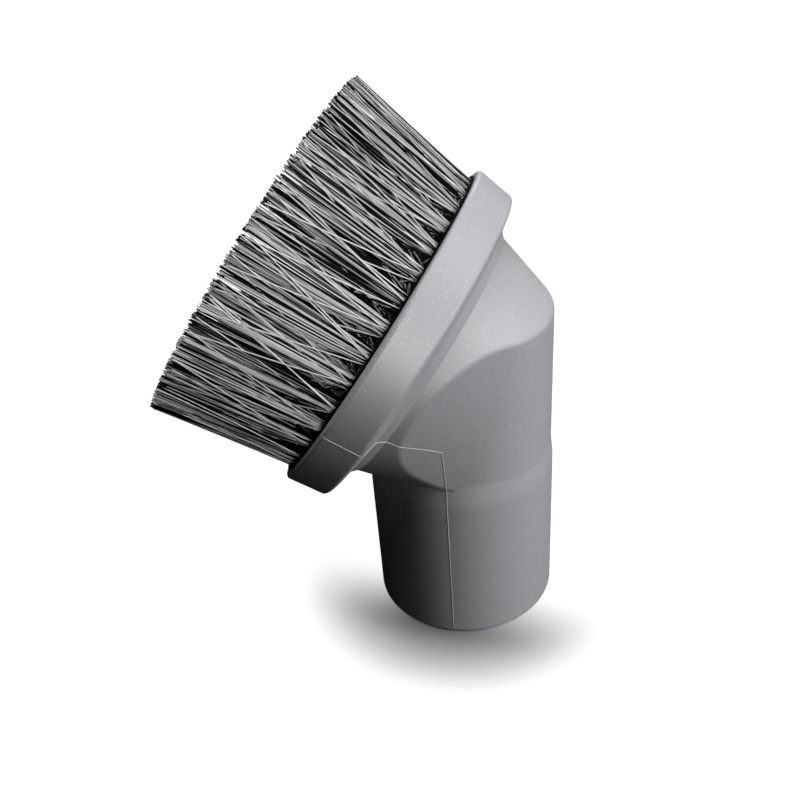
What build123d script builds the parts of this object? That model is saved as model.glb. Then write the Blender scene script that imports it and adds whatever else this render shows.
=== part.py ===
# Round dusting brush for a vacuum cleaner wand.
# Millimetres, +Z up. The origin is the centre of the socket mouth and Z is the socket's axis.
# The brush ring faces up and towards -X, and the body is the same on both sides of the XZ plane.

import os
from math import atan2, cos, pi, radians, sin, tan

from build123d import *

# Socket tube: takes a 32 mm wand end, up to a stop ledge, and has thin walls that grow a little upwards
socket_radius = 16.0
socket_depth = 34.0
stop_ledge = 1.0
ledge_height = 1.5
mouth_wall = 2.25
sleeve_wall = 2.6
mouth_round = 0.8

# Soft shoulder that narrows the sleeve to the waist and runs on inside the elbow
shoulder_drop = 2.4
shoulder_round = 15.0
waist_rise = 1.6
waist_lap = 2.0

# Elbow: the tube's wall at the waist over the sleeve and higher up, its root inside the tube, and its sides,
# given by how far they spread for each millimetre towards the ring, at the waist and higher up
waist_wall = 2.25
elbow_wall = 2.7
elbow_height = 34.0
elbow_root = 7.0
elbow_levels = 4
side_spread_low = 0.287
side_spread_high = 1.15

# Brush ring: how far its front face stands over the sleeve and off the tube's axis, and its tilt
ring_rise = 26.5
ring_offset = 14.9
ring_tilt = 33.5

# Bristle tufts, in one row of holes, with flutes between the locks of bristles
tuft_count = 36
tuft_circle = 30.4
tuft_phase = 7.5
tuft_lean = 9.0
tuft_length = 28.6
tuft_hole_radius = 2.05
tuft_hole_depth = 4.6
tuft_clearance = 0.06
tuft_tip_gap = 0.3
tuft_locks = 8
tuft_flute = 0.2

# Flat wire staples that hold the folded tufts
anchor_thickness = 0.35
anchor_height = 1.5
anchor_bite = 0.3
anchor_lift = 0.8
anchor_clearance = 0.05

# Carrier ring that holds the bristles in the rim's groove
carrier_outer_wall = 0.55
carrier_inner_wall = 1.25
carrier_floor = 1.3
carrier_proud = 0.4
carrier_clearance = 0.1

# Rim of the head, and the cone behind it
rim_wall = 1.6
rim_band = 8.1
rim_band_draft = 7.0
rim_back_step = 1.3
rim_inner_wall = 2.4
rim_front_round = 0.8
rim_back_round = 0.9
ridge_radius = 28.1
crease_radius = 26.5
crease_step = 1.6
cone_half_angle = 15.8
cone_wall = 2.2
seam_round = 2.0

# Heights and radii of the tube
sleeve_height = socket_depth + ledge_height
waist_height = sleeve_height + waist_rise
shoulder_height = sleeve_height - shoulder_drop
tube_top = waist_height + waist_lap
throat_radius = socket_radius - stop_ledge
mouth_radius = socket_radius + mouth_wall
sleeve_radius = socket_radius + sleeve_wall
waist_radius = socket_radius + waist_wall
elbow_radius = socket_radius + elbow_wall
tube_top_radius = waist_radius - waist_lap * (sleeve_radius - waist_radius) / (waist_height - shoulder_height)

# Radii of the ring, from the row of tufts outwards and inwards
carrier_outer_radius = tuft_circle + tuft_hole_radius + carrier_outer_wall
carrier_inner_radius = tuft_circle - tuft_hole_radius - carrier_inner_wall
groove_outer_radius = carrier_outer_radius + carrier_clearance
groove_inner_radius = carrier_inner_radius - carrier_clearance
rim_radius = groove_outer_radius + rim_wall
front_opening = groove_inner_radius - rim_inner_wall

# Places along the ring's axis, measured back from the rim's front face
carrier_seat = tuft_hole_depth + carrier_floor - carrier_proud
rim_back_radius = rim_radius - rim_band * tan(radians(rim_band_draft))
ridge_back = rim_band + rim_back_step
crease_back = ridge_back + crease_step
cone_slope = tan(radians(cone_half_angle))
cone_inset = cone_wall / cos(radians(cone_half_angle))

# Directions of the ring: forward out of its front face, and up across it
tilt = radians(ring_tilt)
ring_centre = Vector(-ring_offset, 0, sleeve_height + ring_rise)
forward = Vector(-cos(tilt), 0, sin(tilt))
across = Vector(sin(tilt), 0, cos(tilt))
ring_axis = Axis(ring_centre, forward)
ring_section = Plane(origin=ring_centre, x_dir=across, z_dir=(0, -1, 0))
ring_top = ring_centre.Z + across.Z * rim_radius


def cone_section(radius):
    """Half section of the cone from a radius at the crease back to its point."""
    with BuildSketch(ring_section) as section:
        with BuildLine():
            Polyline((0, -crease_back), (radius, -crease_back), (0, -crease_back - radius / cone_slope), close=True)
        make_face()
    return section.sketch


def elbow_section(height, inset):
    """Level cut of the elbow: round on the tube's side, with flat sides that spread towards the ring."""
    share = (height - waist_height) / elbow_height
    radius = waist_radius + share * (elbow_radius - waist_radius) - inset
    spread = side_spread_low + share * (side_spread_high - side_spread_low)
    start = atan2(1, spread)
    start_x = radius * cos(start)
    start_y = radius * sin(start)
    reach = 2 * rim_radius
    reach_y = start_y + spread * (start_x + reach)
    with BuildSketch(Plane.XY.offset(height)) as section:
        with BuildLine():
            ThreePointArc((start_x, -start_y), (radius, 0), (start_x, start_y))
            Polyline((start_x, start_y), (-reach, reach_y), (-reach, -reach_y), (start_x, -start_y))
        make_face()
    return section.sketch


def elbow_space(floor, inset):
    """Space between the elbow's sides, from a floor up to the top of the ring, inset by a wall."""
    rise = (ring_top - floor) / (elbow_levels - 1)
    with BuildPart() as space:
        loft([elbow_section(floor + level * rise, inset) for level in range(elbow_levels)])
    return space.part


# Air way behind the ring: the hollow of the cone, closed at the sides by the elbow
with BuildPart() as air_way:
    revolve(cone_section(crease_radius - cone_inset), axis=ring_axis)
    add(elbow_space(sleeve_height, cone_wall), mode=Mode.INTERSECT)

# Body, one moulding: the cone first, cut off by the elbow's sides, with the edge between them rounded
with BuildPart() as body:
    revolve(cone_section(crease_radius), axis=ring_axis)
    add(elbow_space(waist_height - elbow_root, 0), mode=Mode.INTERSECT)
    cone_edges = body.faces().filter_by(GeomType.CONE).edges()
    fillet(cone_edges.filter_by(GeomType.BSPLINE), seam_round)

    # Rim
    with BuildSketch(ring_section) as rim_section:
        with BuildLine():
            Polyline(
                (0, 0),
                (rim_radius, 0),
                (rim_back_radius, -rim_band),
                (ridge_radius, -ridge_back),
                (crease_radius, -crease_back),
                (0, -crease_back),
                close=True,
            )
        make_face()
        fillet(rim_section.vertices().sort_by_distance((rim_radius, 0))[0], rim_front_round)
        fillet(rim_section.vertices().sort_by_distance((rim_back_radius, -rim_band))[0], rim_back_round)
    revolve(axis=ring_axis)

    # Socket tube
    with BuildSketch(Plane.XZ) as tube_section:
        with BuildLine():
            Polyline(
                (0, 0),
                (mouth_radius, 0),
                (sleeve_radius, shoulder_height),
                (tube_top_radius, tube_top),
                (0, tube_top),
                close=True,
            )
        make_face()
        fillet(tube_section.vertices().sort_by_distance((mouth_radius, 0))[0], mouth_round)
        fillet(tube_section.vertices().sort_by_distance((sleeve_radius, shoulder_height))[0], shoulder_round)
    revolve(axis=Axis.Z)

    # Hollow of the cone, and the open front of the head
    add(air_way.part, mode=Mode.SUBTRACT)
    with BuildSketch(ring_section):
        with BuildLine():
            Polyline(
                (0, 0),
                (front_opening, 0),
                (front_opening, -carrier_seat),
                (crease_radius - cone_inset, -crease_back),
                (0, -crease_back),
                close=True,
            )
        make_face()
    revolve(axis=ring_axis, mode=Mode.SUBTRACT)

    # Groove for the carrier ring
    with BuildSketch(ring_section):
        with BuildLine():
            Polyline(
                (groove_inner_radius, 0),
                (groove_outer_radius, 0),
                (groove_outer_radius, -carrier_seat),
                (groove_inner_radius, -carrier_seat),
                close=True,
            )
        make_face()
    revolve(axis=ring_axis, mode=Mode.SUBTRACT)

    # Socket, and the throat past its stop ledge
    with BuildSketch(Plane.XZ):
        with BuildLine():
            Polyline(
                (0, 0),
                (socket_radius, 0),
                (socket_radius, socket_depth),
                (throat_radius, socket_depth),
                (throat_radius, tube_top),
                (0, tube_top),
                close=True,
            )
        make_face()
    revolve(axis=Axis.Z, mode=Mode.SUBTRACT)
body.part.label = "body"


def tuft_plane(number):
    """Plane on the carrier ring's face at one tuft, looking along the leaning tuft."""
    angle = radians(tuft_phase + number * 360 / tuft_count)
    lean = radians(tuft_lean)
    outward = across * cos(angle) - Vector(0, 1, 0) * sin(angle)
    place = ring_centre + forward * carrier_proud + outward * tuft_circle
    return Plane(origin=place, x_dir=outward.cross(forward), z_dir=forward * cos(lean) + outward * sin(lean))


tuft_planes = [tuft_plane(number) for number in range(tuft_count)]
anchor_length = 2 * (tuft_hole_radius + anchor_bite)
anchor_depth = tuft_hole_depth - anchor_lift

# Carrier ring, with a hole for each tuft and a narrow slot across it for the staple
with BuildPart() as carrier_ring:
    with BuildSketch(ring_section):
        with BuildLine():
            Polyline(
                (carrier_inner_radius, carrier_proud),
                (carrier_outer_radius, carrier_proud),
                (carrier_outer_radius, -carrier_seat),
                (carrier_inner_radius, -carrier_seat),
                close=True,
            )
        make_face()
    revolve(axis=ring_axis)
    for plane in tuft_planes:
        with BuildSketch(plane.offset(-tuft_hole_depth)):
            Circle(tuft_hole_radius)
        extrude(amount=2 * tuft_hole_depth, mode=Mode.SUBTRACT)
        with BuildSketch(plane.offset(-anchor_depth)):
            Rectangle(anchor_length + 2 * anchor_clearance, anchor_thickness + 2 * anchor_clearance)
        extrude(amount=2 * anchor_depth, mode=Mode.SUBTRACT)
carrier_ring.part.label = "carrier_ring"

# Staples, one across each hole, resting on the floor of its slot
with BuildPart() as tuft_anchors:
    for plane in tuft_planes:
        with BuildSketch(plane.offset(-anchor_depth)):
            Rectangle(anchor_length, anchor_thickness)
        extrude(amount=anchor_height)
tuft_anchors.part.label = "tuft_anchors"


def tuft_section(height, radius):
    """Cut across a tuft: a ridge for each lock of bristles, with a flute between each two."""
    corners = []
    for corner in range(2 * tuft_locks):
        turn = corner * pi / tuft_locks
        reach = radius if corner % 2 == 0 else radius - tuft_flute * radius
        corners.append((reach * cos(turn), reach * sin(turn)))
    with BuildSketch(Plane.XY.offset(height)) as section:
        with BuildLine():
            Polyline(*corners, close=True)
        make_face()
    return section.sketch


# Tuft: a folded bundle that stands on the floor of its hole round the staple and spreads to its tip
tip_circle = tuft_circle + tuft_length * sin(radians(tuft_lean))
tip_radius = pi * tip_circle / tuft_count - tuft_tip_gap / 2
with BuildPart() as tuft:
    neck = tuft_section(0, tuft_hole_radius - tuft_clearance)
    extrude(neck, amount=-tuft_hole_depth)
    loft([neck, tuft_section(tuft_length, tip_radius)], ruled=True)
    with BuildSketch(Plane.XY.offset(-anchor_depth - anchor_clearance)):
        Rectangle(anchor_length, anchor_thickness + 2 * anchor_clearance)
    extrude(amount=anchor_height + 2 * anchor_clearance, mode=Mode.SUBTRACT)

os.makedirs("parts", exist_ok=True)
for number, plane in enumerate(tuft_planes, start=1):
    placed_tuft = tuft.part.moved(plane.location)
    placed_tuft.label = f"tuft_{number:02d}"
    export_step(placed_tuft, f"parts/{placed_tuft.label}.step")

for piece in (body, carrier_ring, tuft_anchors):
    export_step(piece.part, f"parts/{piece.part.label}.step")
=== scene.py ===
import math
import random

import bpy
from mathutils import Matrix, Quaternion, Vector


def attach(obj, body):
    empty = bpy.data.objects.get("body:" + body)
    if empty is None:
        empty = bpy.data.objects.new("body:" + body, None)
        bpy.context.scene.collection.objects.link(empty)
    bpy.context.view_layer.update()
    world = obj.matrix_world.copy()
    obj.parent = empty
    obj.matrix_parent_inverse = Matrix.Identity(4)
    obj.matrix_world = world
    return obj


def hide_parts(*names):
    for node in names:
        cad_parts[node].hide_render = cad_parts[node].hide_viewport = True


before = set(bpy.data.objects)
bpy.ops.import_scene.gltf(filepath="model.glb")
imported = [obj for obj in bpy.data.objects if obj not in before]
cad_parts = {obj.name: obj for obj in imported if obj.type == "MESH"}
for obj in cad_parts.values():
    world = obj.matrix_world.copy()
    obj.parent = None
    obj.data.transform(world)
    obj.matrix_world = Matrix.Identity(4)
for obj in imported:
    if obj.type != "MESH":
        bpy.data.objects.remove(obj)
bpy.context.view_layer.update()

# Body: one moulding of dark satin plastic, with a fine spark-eroded grain, lighter specks painted on it as
# the grain's glints, and a little dust.
# The CAD solid has its full form, so the node stays and only gets its plastic.
body_colour = (0.31, 0.315, 0.328, 1)
body_roughness = 0.45
grain_scale = 3500
grain_detail = 2
grain_strength = 0.4
grain_height = 0.0001
painted_glint_colour = (0.5, 0.505, 0.515, 1)
painted_glint_start = 0.62
painted_glint_full = 0.74
dust_colour = (0.6, 0.6, 0.6, 1)
dust_scale = 900
dust_reach = 0.09
dust_share = 0.35
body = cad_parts["body"]
body_plastic = bpy.data.materials.new("body_plastic")
body_plastic.use_nodes = True
nodes, links = body_plastic.node_tree.nodes, body_plastic.node_tree.links
shader = nodes["Principled BSDF"]
shader.inputs["Roughness"].default_value = body_roughness
place = nodes.new("ShaderNodeTexCoord")
grain = nodes.new("ShaderNodeTexNoise")
grain.inputs["Scale"].default_value = grain_scale
grain.inputs["Detail"].default_value = grain_detail
grain_bump = nodes.new("ShaderNodeBump")
grain_bump.inputs["Strength"].default_value = grain_strength
grain_bump.inputs["Distance"].default_value = grain_height
links.new(place.outputs["Object"], grain.inputs["Vector"])
links.new(grain.outputs["Fac"], grain_bump.inputs["Height"])
links.new(grain_bump.outputs["Normal"], shader.inputs["Normal"])
# Painted highlight: where the grain noise is highest the colour turns lighter, standing in for the sparkle
# of the grain.
grain_with_painted_glints = nodes.new("ShaderNodeValToRGB")
grain_with_painted_glints.color_ramp.elements[0].position = painted_glint_start
grain_with_painted_glints.color_ramp.elements[0].color = body_colour
grain_with_painted_glints.color_ramp.elements[1].position = painted_glint_full
grain_with_painted_glints.color_ramp.elements[1].color = painted_glint_colour
links.new(grain.outputs["Fac"], grain_with_painted_glints.inputs["Fac"])
dust = nodes.new("ShaderNodeTexVoronoi")
dust.inputs["Scale"].default_value = dust_scale
dust_size = nodes.new("ShaderNodeMath")
dust_size.operation = "LESS_THAN"
dust_size.inputs[1].default_value = dust_reach
dust_here = nodes.new("ShaderNodeMath")
dust_here.operation = "GREATER_THAN"
dust_here.inputs[1].default_value = 1 - dust_share
dust_speck = nodes.new("ShaderNodeMath")
dust_speck.operation = "MULTIPLY"
dusty = nodes.new("ShaderNodeMix")
dusty.data_type = "RGBA"
dusty.inputs["B"].default_value = dust_colour
links.new(grain_with_painted_glints.outputs["Color"], dusty.inputs["A"])
links.new(place.outputs["Object"], dust.inputs["Vector"])
links.new(dust.outputs["Distance"], dust_size.inputs[0])
links.new(dust.outputs["Color"], dust_here.inputs[0])
links.new(dust_size.outputs[0], dust_speck.inputs[0])
links.new(dust_here.outputs[0], dust_speck.inputs[1])
links.new(dust_speck.outputs[0], dusty.inputs["Factor"])
links.new(dusty.outputs["Result"], shader.inputs["Base Color"])
body.data.materials.clear()
body.data.materials.append(body_plastic)

# Mould line: a hair of flash where the mould's halves met, left on both sides of the body.
# It runs back along the head just under the ring's axis, then turns straight down the tube.
line_radius = 0.0001
line_step = 0.0005
line_colour = (0.45, 0.45, 0.45, 1)
line_roughness = 0.5
line_front_gap = 0.0003
line_foot_gap = 0.0004
ring_tilt = math.radians(33.5)
ring_centre = Vector((-0.0149, 0, 0.062))
ring_forward = Vector((-math.cos(ring_tilt), 0, math.sin(ring_tilt)))
ring_across = Vector((math.sin(ring_tilt), 0, math.cos(ring_tilt)))
line_drop = 0.0033
line_turn_x = 0.001
side_reach = 0.05
line_front = ring_centre - ring_across * line_drop
head_run = (line_turn_x - line_front.x) / -ring_forward.x
line_turn = line_front - ring_forward * head_run
line_spots = [line_front - ring_forward * (line_front_gap + step * line_step)
              for step in range(int((head_run - line_front_gap) / line_step))]
line_spots += [Vector((line_turn_x, 0, line_turn.z - step * line_step))
               for step in range(int((line_turn.z - line_foot_gap) / line_step))]
line_plastic = bpy.data.materials.new("mould_line")
line_plastic.use_nodes = True
shader = line_plastic.node_tree.nodes["Principled BSDF"]
shader.inputs["Base Color"].default_value = line_colour
shader.inputs["Roughness"].default_value = line_roughness
for side, side_name in ((-1, "painted_shadow_occlusion"), (1, "far")):
    hits = []
    for spot in line_spots:
        beside = spot + Vector((0, side * side_reach, 0))
        hits.append(body.ray_cast(beside, Vector((0, -side, 0)))[1])
    curve = bpy.data.curves.new(f"mould_line_{side_name}", "CURVE")
    curve.dimensions = "3D"
    curve.bevel_depth = line_radius
    curve.bevel_resolution = 1
    spline = curve.splines.new("POLY")
    spline.points.add(len(hits) - 1)
    for point, hit in zip(spline.points, hits):
        point.co = (*hit, 1)
    mould_line = bpy.data.objects.new(f"mould_line_{side_name}", curve)
    bpy.context.collection.objects.link(mould_line)
    bpy.ops.object.select_all(action="DESELECT")
    mould_line.select_set(True)
    bpy.context.view_layer.objects.active = mould_line
    bpy.ops.object.convert(target="MESH")
    mould_line.data.materials.append(line_plastic)
    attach(mould_line, "root")

# Carrier ring: a ring pressed into the rim's groove and drilled for the tufts, coloured almost pure black
# with next to no gloss.
# The CAD solid has its holes and slots, so the node stays and only gets its plastic.
carrier_colour = (0.003, 0.003, 0.003, 1)
carrier_roughness = 0.8
carrier_gloss = 0.05
carrier_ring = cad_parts["carrier_ring"]
carrier_plastic = bpy.data.materials.new("carrier_plastic")
carrier_plastic.use_nodes = True
shader = carrier_plastic.node_tree.nodes["Principled BSDF"]
shader.inputs["Base Color"].default_value = carrier_colour
shader.inputs["Roughness"].default_value = carrier_roughness
shader.inputs["Specular IOR Level"].default_value = carrier_gloss
carrier_ring.data.materials.clear()
carrier_ring.data.materials.append(carrier_plastic)

# Staples: flat steel wire driven in across each hole, which holds the folded tuft down.
# They are hidden under the tufts, so the CAD node stays and only gets its metal.
wire_colour = (0.55, 0.55, 0.56, 1)
wire_roughness = 0.35
tuft_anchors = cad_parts["tuft_anchors"]
anchor_wire = bpy.data.materials.new("anchor_wire")
anchor_wire.use_nodes = True
shader = anchor_wire.node_tree.nodes["Principled BSDF"]
shader.inputs["Base Color"].default_value = wire_colour
shader.inputs["Metallic"].default_value = 1
shader.inputs["Roughness"].default_value = wire_roughness
tuft_anchors.data.materials.clear()
tuft_anchors.data.materials.append(anchor_wire)

# Tufts: bundles of black nylon filaments, each folded round its staple and fanning out to cut tips.
# They hang together in locks. The last few of a tuft stray across its neighbours, and the first ones are
# short, splayed between the roots and kept pure black as painted shade there. About half the others get a
# painted highlight in colour and gloss.
tuft_count = 36
tuft_circle = 0.0304
tuft_phase = 7.5
tuft_lean = math.radians(9)
tuft_length = 0.0286
tuft_root_depth = 0.003
tuft_root_radius = 0.00199
tuft_tip_radius = 0.00289
tip_widening = 1.3
fan_shape = 0.7
tip_margin = 0.0008
tuft_locks = 8
tuft_flute = 0.2
face_height = 0.0004
filament_count = 130
filament_radius = 0.00012
sway_spread = 0.0002
tip_spread_along = 0.0004
tip_spread_out = 0.00015
cut_spread = 0.02
bow_spread = 0.0001
stray_count = 5
stray_reach = (0.0025, 0.0085)
stray_sides = (-1, -1, 1)
stray_tip_share = (0.7, 1)
short_count = 48
short_length = (0.0004, 0.0095)
short_reach = (0.0026, 0.0034)
short_root_along = (0.3, 0.85)
short_root_out = (-0.45, 0.45)
short_low = 2
dark_nylon = (0.01, 0.01, 0.011, 1)
nylon_painted_highlight = (0.46, 0.464, 0.472, 1)
nylon_roughness = 0.35
nylon_ior = 1.9
painted_depth_shade = 2
painted_glint_range = (0.65, 1.0)
painted_glint_share = 0.5
filament_levels = (0.0, 0.25, 0.5, 0.75, 1.0)
golden_angle = math.pi * (3 - math.sqrt(5))
bristle = bpy.data.materials.new("bristle")
bristle.use_nodes = True
nodes, links = bristle.node_tree.nodes, bristle.node_tree.links
shader = nodes["Principled BSDF"]
shader.inputs["Roughness"].default_value = nylon_roughness
shader.inputs["IOR"].default_value = nylon_ior
# Each filament's painted shade value sets its colour, from black nylon up to a painted highlight grey, and
# its gloss.
painted_shade = nodes.new("ShaderNodeAttribute")
painted_shade.attribute_name = "painted_shade"
painted_tone = nodes.new("ShaderNodeValToRGB")
painted_tone.color_ramp.elements[0].color = dark_nylon
painted_tone.color_ramp.elements[1].color = nylon_painted_highlight
links.new(painted_shade.outputs["Fac"], painted_tone.inputs["Fac"])
links.new(painted_tone.outputs["Color"], shader.inputs["Base Color"])
links.new(painted_shade.outputs["Fac"], shader.inputs["Specular IOR Level"])
for number in range(1, tuft_count + 1):
    chance = random.Random(number)
    angle = math.radians(tuft_phase + (number - 1) * 360 / tuft_count)
    outward = ring_across * math.cos(angle) - Vector((0, 1, 0)) * math.sin(angle)
    along = outward.cross(ring_forward)
    axis = ring_forward * math.cos(tuft_lean) + outward * math.sin(tuft_lean)
    out = along.cross(axis)
    root = ring_centre + ring_forward * face_height + outward * tuft_circle
    curve = bpy.data.curves.new(f"bristles_{number:02d}", "CURVE")
    curve.dimensions = "3D"
    curve.bevel_depth = filament_radius
    curve.bevel_resolution = 1
    curve.use_fill_caps = True
    tuft_sway = chance.gauss(0, sway_spread)
    for filament in range(filament_count):
        turn = filament * golden_angle
        lock_turn = turn * tuft_locks / (2 * math.pi) % 1
        lock_edge = 1 - tuft_flute * (1 - abs(2 * lock_turn - 1))
        share = lock_edge * math.sqrt((filament + 0.5) / filament_count)
        x, y = share * math.cos(turn), share * math.sin(turn)
        root_x, root_y = x * (tuft_root_radius - filament_radius), y * (tuft_root_radius - filament_radius)
        tip_x = x * tuft_tip_radius * tip_widening + tuft_sway + chance.gauss(0, tip_spread_along)
        tip_y = y * (tuft_tip_radius - tip_margin) + chance.gauss(0, tip_spread_out)
        length = tuft_length * (1 - abs(chance.gauss(0, cut_spread)))
        fan_power = fan_shape
        if filament >= filament_count - stray_count:
            reach = chance.uniform(*stray_reach)
            root_y = -abs(root_y)
            tip_x = root_x + reach * chance.choice(stray_sides)
            tip_y = (tip_margin - tuft_tip_radius) * chance.uniform(*stray_tip_share)
            tip_y += reach * reach / tuft_circle / 2
            length -= reach * reach / tuft_length / 2
            fan_power = 1
        # Short fibres splayed between the roots: they stay pure black as painted shade in the gaps.
        elif filament < short_count:
            side = 1 if filament % 2 else -1
            root_x = side * tuft_root_radius * chance.uniform(*short_root_along)
            root_y = tuft_root_radius * chance.uniform(*short_root_out)
            tip_x = side * chance.uniform(*short_reach)
            tip_y = root_y
            length = short_length[0] + (short_length[1] - short_length[0]) * chance.random() ** short_low
            fan_power = 1
        bow_x, bow_y = chance.gauss(0, bow_spread), chance.gauss(0, bow_spread)
        spline = curve.splines.new("POLY")
        spline.points.add(len(filament_levels))
        spline.points[0].co = (*(root + along * root_x + out * root_y - axis * tuft_root_depth), 1)
        for point, level in zip(spline.points[1:], filament_levels):
            bend = 4 * level * (1 - level)
            fan = level ** fan_power
            spot_x = root_x + (tip_x - root_x) * fan + bow_x * bend
            spot_y = root_y + (tip_y - root_y) * level + bow_y * bend
            point.co = (*(root + along * spot_x + out * spot_y + axis * length * level), 1)
    bristles = bpy.data.objects.new(f"bristles_{number:02d}", curve)
    bpy.context.collection.objects.link(bristles)
    bpy.ops.object.select_all(action="DESELECT")
    bristles.select_set(True)
    bpy.context.view_layer.objects.active = bristles
    bpy.ops.object.convert(target="MESH")
    bpy.ops.object.shade_smooth()
    points_each = len(bristles.data.vertices) // filament_count
    painted_shades = bristles.data.attributes.new("painted_shade", "FLOAT", "POINT")
    values = []
    # Painted highlight and shade: strays and about half the long filaments get a painted highlight, darker
    # towards the tuft's middle as painted shade.
    for filament in range(filament_count):
        depth = math.sqrt((filament + 0.5) / filament_count)
        stray = filament >= filament_count - stray_count
        painted_bright = stray or filament >= short_count and chance.random() < painted_glint_share
        filament_painted_glint = chance.uniform(*painted_glint_range) if painted_bright else 0
        values += [filament_painted_glint * depth ** painted_depth_shade] * points_each
    painted_shades.data.foreach_set("value", values)
    bristles.data.materials.append(bristle)
    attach(bristles, "root")
    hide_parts(f"tuft_{number:02d}")

# Floor: a plain white sheet that the tube stands on. To the camera it glows white, with a shadow in front
# of the tube that is mostly painted from an occlusion test near the brush. To everything else it is dim,
# so little light comes up from below.
floor_size = 6
floor_white = 1.1
floor_dim = (0.02, 0.02, 0.02, 1)
shadow_reach = 0.019
shadow_front = (-0.08, -0.997, 0)
shadow_start = 0.0
shadow_full = 0.02
shadow_share = 0.9
shadow_depth = 5
bpy.ops.mesh.primitive_plane_add(size=floor_size)
floor = bpy.context.active_object
floor.name = "floor"
paper = bpy.data.materials.new("paper")
paper.use_nodes = True
nodes, links = paper.node_tree.nodes, paper.node_tree.links
nodes.remove(nodes["Principled BSDF"])
lit = nodes.new("ShaderNodeBsdfDiffuse")
lit.inputs["Color"].default_value = (1, 1, 1, 1)
white = nodes.new("ShaderNodeEmission")
# Painted shadow: occlusion near the brush, deepened and kept to the floor in front of the tube, darkens
# the floor's glow.
painted_shadow_occlusion = nodes.new("ShaderNodeAmbientOcclusion")
painted_shadow_occlusion.inputs["Distance"].default_value = shadow_reach
deepen = nodes.new("ShaderNodeGamma")
deepen.inputs["Gamma"].default_value = shadow_depth
links.new(painted_shadow_occlusion.outputs["Color"], deepen.inputs["Color"])
spot = nodes.new("ShaderNodeTexCoord")
ahead = nodes.new("ShaderNodeVectorMath")
ahead.operation = "DOT_PRODUCT"
ahead.inputs[1].default_value = shadow_front
painted_shadow_in_front = nodes.new("ShaderNodeMapRange")
painted_shadow_in_front.interpolation_type = "SMOOTHSTEP"
painted_shadow_in_front.inputs["From Min"].default_value = shadow_start
painted_shadow_in_front.inputs["From Max"].default_value = shadow_full
painted_shadow = nodes.new("ShaderNodeMix")
painted_shadow.data_type = "RGBA"
painted_shadow.inputs["A"].default_value = (1, 1, 1, 1)
links.new(spot.outputs["Object"], ahead.inputs[0])
links.new(ahead.outputs["Value"], painted_shadow_in_front.inputs["Value"])
links.new(painted_shadow_in_front.outputs["Result"], painted_shadow.inputs["Factor"])
links.new(deepen.outputs["Color"], painted_shadow.inputs["B"])
links.new(painted_shadow.outputs["Result"], white.inputs["Color"])
white.inputs["Strength"].default_value = floor_white
seen = nodes.new("ShaderNodeMixShader")
seen.inputs["Fac"].default_value = shadow_share
links.new(lit.outputs["BSDF"], seen.inputs[1])
links.new(white.outputs["Emission"], seen.inputs[2])
unseen = nodes.new("ShaderNodeBsdfDiffuse")
unseen.inputs["Color"].default_value = floor_dim
path = nodes.new("ShaderNodeLightPath")
either = nodes.new("ShaderNodeMixShader")
links.new(path.outputs["Is Camera Ray"], either.inputs["Fac"])
links.new(unseen.outputs["BSDF"], either.inputs[1])
links.new(seen.outputs["Shader"], either.inputs[2])
links.new(either.outputs["Shader"], nodes["Material Output"].inputs["Surface"])
floor.data.materials.append(paper)

# Light: soft lamps low and higher up on the right, one overhead, a weak one behind for the far side, one
# in front on the right that adds sheen only, and a dim even sky that is white to the camera.
# Each lamp has its place, its size, its power, and whether it adds sheen only.
lamp_aim = Vector((0, 0, 0.05))
sky_dim = 0.005
sky_white = 1.0
lamps = (((0.62, -0.16, 0.16), 0.3, 2.6, False),
         ((0.55, 0.0, 0.39), 0.5, 2.5, False),
         ((0.02, -0.02, 0.7), 0.5, 4.2, False),
         ((-0.17, 0.5, 0.33), 0.4, 1.6, False),
         ((0.33, -0.54, 0.18), 0.3, 4.4, True))
for lamp_place, lamp_size, lamp_power, sheen_only in lamps:
    bpy.ops.object.light_add(type="AREA", location=lamp_place)
    lamp = bpy.context.active_object
    lamp.rotation_euler = (lamp_aim - Vector(lamp_place)).to_track_quat("-Z", "Y").to_euler()
    lamp.data.size = lamp_size
    lamp.data.energy = lamp_power
    lamp.visible_diffuse = not sheen_only
world = bpy.data.worlds.new("studio")
bpy.context.scene.world = world
world.use_nodes = True
nodes, links = world.node_tree.nodes, world.node_tree.links
sky = nodes["Background"]
path = nodes.new("ShaderNodeLightPath")
level = nodes.new("ShaderNodeMix")
level.inputs[2].default_value = sky_dim
level.inputs[3].default_value = sky_white
links.new(path.outputs["Is Camera Ray"], level.inputs["Factor"])
links.new(level.outputs[0], sky.inputs["Strength"])
sky.inputs["Color"].default_value = (1, 1, 1, 1)
bpy.context.scene.view_settings.view_transform = "Standard"

# Camera: above and a little right of the tube's front, rolled by a few degrees.
camera_place = Vector((0.04087, -0.18174, 0.16893))
camera_aim = Vector((-0.01208, 0, 0.04443))
camera_roll = math.radians(4.41)
camera_lens = 50.59
bpy.ops.object.camera_add(location=camera_place)
camera = bpy.context.active_object
camera.rotation_mode = "QUATERNION"
facing = (camera_aim - camera_place).to_track_quat("-Z", "Y")
camera.rotation_quaternion = facing @ Quaternion((0, 0, 1), -camera_roll)
camera.data.lens = camera_lens
bpy.context.scene.camera = camera
